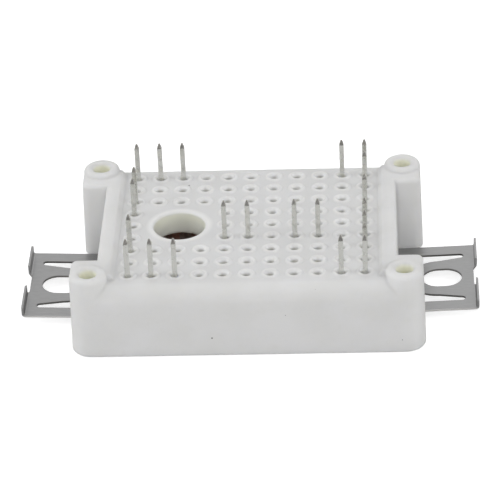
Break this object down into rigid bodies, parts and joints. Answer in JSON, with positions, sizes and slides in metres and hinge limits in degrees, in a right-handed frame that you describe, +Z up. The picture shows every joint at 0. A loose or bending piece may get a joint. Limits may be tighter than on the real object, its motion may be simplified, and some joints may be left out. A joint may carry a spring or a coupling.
{
  "type": "igbt module",
  "caption": "Flat white moulded power module with a grid lid, upright solder pins, a round gel window and a sheet-steel screw clamp at each end.",
  "frame": {"origin": "centre of the footprint, on the heatsink plane under the substrate", "axes": "+X along the length, from one clamp to the other; +Y across, from the front long side to the back; the gel window lies at -X; +Z up along the pins"},
  "size_m": [0.0628, 0.0336, 0.0164],
  "materials": {
    "housing_plastic": "fine moulded satin, slightly translucent",
    "clamp_steel": "satin rolled sheet",
    "pin_tin": "tin plated",
    "copper": "bare copper, slightly dull",
    "ceramic": "unglazed alumina",
    "silicon": "polished metallised chip",
    "wire_aluminium": "drawn wire",
    "gel": "clear soft silicone"
  },
  "bodies": {
    "root": {"housing": "housing_plastic", "clamp_left": "clamp_steel", "clamp_right": "clamp_steel", "base_copper": "copper", "ceramic_plate": "ceramic", "circuit_copper": "copper", "bond_wires": "wire_aluminium", "diode_chip_1": "silicon", "diode_chip_2": "silicon", "diode_chip_3": "silicon", "diode_chip_4": "silicon", "diode_chip_5": "silicon", "diode_chip_6": "silicon", "igbt_chip_1": "silicon", "igbt_chip_2": "silicon", "igbt_chip_3": "silicon", "igbt_chip_4": "silicon", "igbt_chip_5": "silicon", "igbt_chip_6": "silicon", "pin_a1": "pin_tin", "pin_a3": "pin_tin", "pin_a4": "pin_tin", "pin_a7": "pin_tin", "pin_a9": "pin_tin", "pin_b1": "pin_tin", "pin_b9": "pin_tin", "pin_c1": "pin_tin", "pin_c9": "pin_tin", "pin_e6": "pin_tin", "pin_f6": "pin_tin", "pin_h6": "pin_tin", "pin_i6": "pin_tin", "pin_j1": "pin_tin", "pin_j9": "pin_tin", "pin_k1": "pin_tin", "pin_k2": "pin_tin", "pin_k4": "pin_tin", "pin_k6": "pin_tin", "pin_k7": "pin_tin", "pin_k8": "pin_tin", "pin_k9": "pin_tin", "pin_sleeves": "pin_tin", "silicone_gel": "gel", "thermistor": "silicon"}
  },
  "joints": []
}
